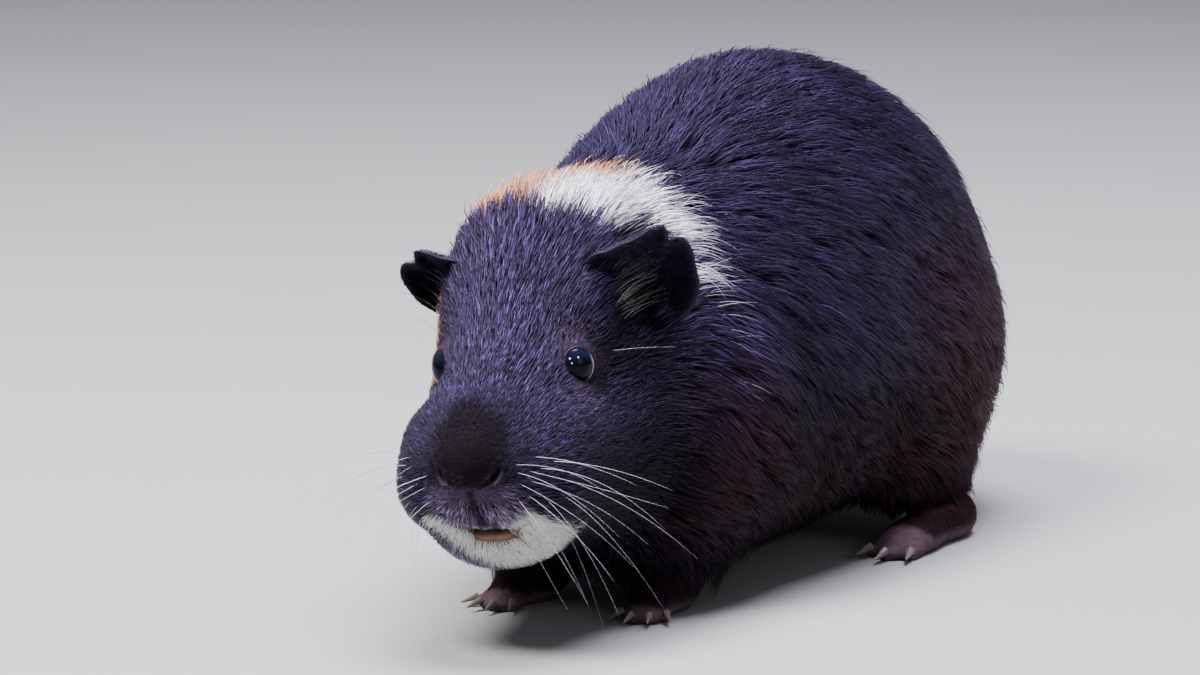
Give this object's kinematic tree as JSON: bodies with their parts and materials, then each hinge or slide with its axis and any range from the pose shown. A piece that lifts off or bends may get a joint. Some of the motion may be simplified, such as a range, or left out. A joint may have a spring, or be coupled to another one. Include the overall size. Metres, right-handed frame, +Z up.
{
  "type": "guinea pig",
  "caption": "Guinea pig standing on all fours, black coat with a white collar and chin, head low and turned a little to its left.",
  "frame": {"origin": "centre of the bounding box in X and Y, on the floor under the feet", "axes": "+Z up, the animal faces -Y and its tail end is toward +Y, its left side is +X"},
  "size_m": [0.1002, 0.2376, 0.1159],
  "materials": {
    "black_fur": "soft short fur",
    "dark_skin": "bare matte skin",
    "eye_black": "wet gloss",
    "claw_horn": "satin horn"
  },
  "bodies": {
    "root": {"ear_left": "dark_skin", "ear_right": "dark_skin", "eye_left": "eye_black", "eye_right": "eye_black", "forefoot_left": "dark_skin", "forefoot_left_claw_1": "claw_horn", "forefoot_left_claw_2": "claw_horn", "forefoot_left_claw_3": "claw_horn", "forefoot_left_claw_4": "claw_horn", "forefoot_right": "dark_skin", "forefoot_right_claw_1": "claw_horn", "forefoot_right_claw_2": "claw_horn", "forefoot_right_claw_3": "claw_horn", "forefoot_right_claw_4": "claw_horn", "foreleg_left": "black_fur", "foreleg_right": "black_fur", "head": "black_fur", "hindfoot_left": "dark_skin", "hindfoot_left_claw_1": "claw_horn", "hindfoot_left_claw_2": "claw_horn", "hindfoot_left_claw_3": "claw_horn", "hindfoot_right": "dark_skin", "hindfoot_right_claw_1": "claw_horn", "hindfoot_right_claw_2": "claw_horn", "hindfoot_right_claw_3": "claw_horn", "hindleg_left": "black_fur", "hindleg_right": "black_fur", "lower_jaw": "black_fur", "neck": "black_fur", "trunk": "black_fur"}
  },
  "joints": []
}
